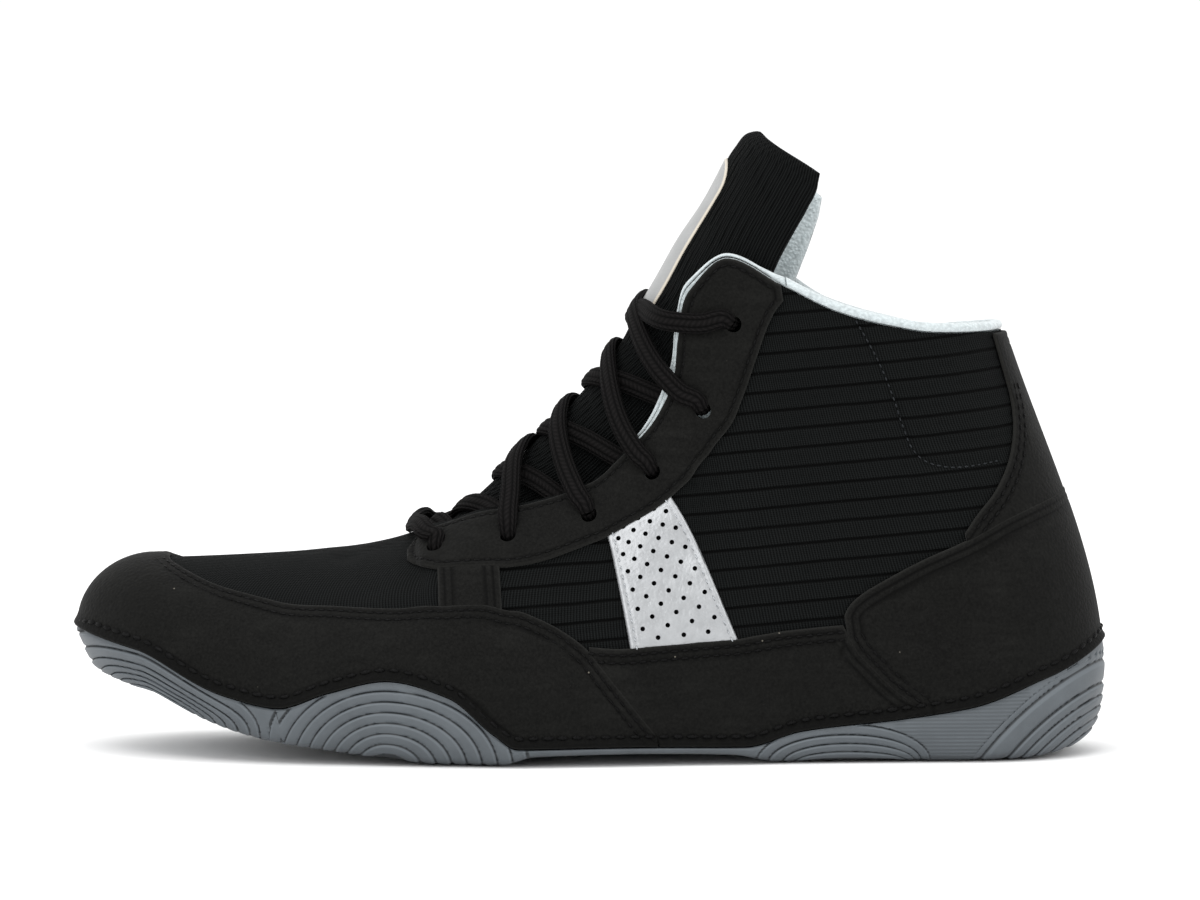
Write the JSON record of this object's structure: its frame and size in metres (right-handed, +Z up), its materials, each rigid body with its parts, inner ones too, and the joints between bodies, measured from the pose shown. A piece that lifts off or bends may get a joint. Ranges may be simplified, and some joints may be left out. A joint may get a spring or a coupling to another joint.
{
  "type": "wrestling shoe",
  "caption": "Mid-high lace-up wrestling shoe, left foot: knitted upper with suede overlays, moulded cup sole with ringed pods, standing empty.",
  "frame": {"origin": "bottom centre of the bounding box, on the ground plane", "axes": "+Z up, -X towards the toe, -Y towards the outer (lateral) side of this left shoe"},
  "size_m": [0.2861, 0.0978, 0.1726],
  "materials": {
    "outsole": "satin grey rubber",
    "insole_cloth": "matt textile",
    "knit": "matt ribbed knit",
    "nubuck": "matt brushed nap",
    "silver": "satin silver coated, perforated",
    "lining": "matt terry textile",
    "label": "smooth pale grey film",
    "lace": "braided polyester"
  },
  "bodies": {
    "root": {"outsole": "outsole", "insole": "insole_cloth", "upper": "knit", "toe_rand": "nubuck", "side_panel_lateral": "nubuck", "side_panel_medial": "nubuck", "heel_counter": "nubuck", "heel_strip": "nubuck", "eyestay_lateral": "nubuck", "eyestay_medial": "nubuck", "gusset_lateral": "nubuck", "gusset_medial": "nubuck", "saddle_lateral": "silver", "saddle_medial": "silver", "collar_binding": "lining", "throat_trim_lateral": "lining", "throat_trim_medial": "lining", "tongue": "knit", "tongue_label": "label", "lace_bar": "lace", "lace_crossing_1": "lace", "lace_crossing_2": "lace", "lace_crossing_3": "lace", "lace_crossing_4": "lace", "lace_crossing_5": "lace"}
  },
  "joints": []
}
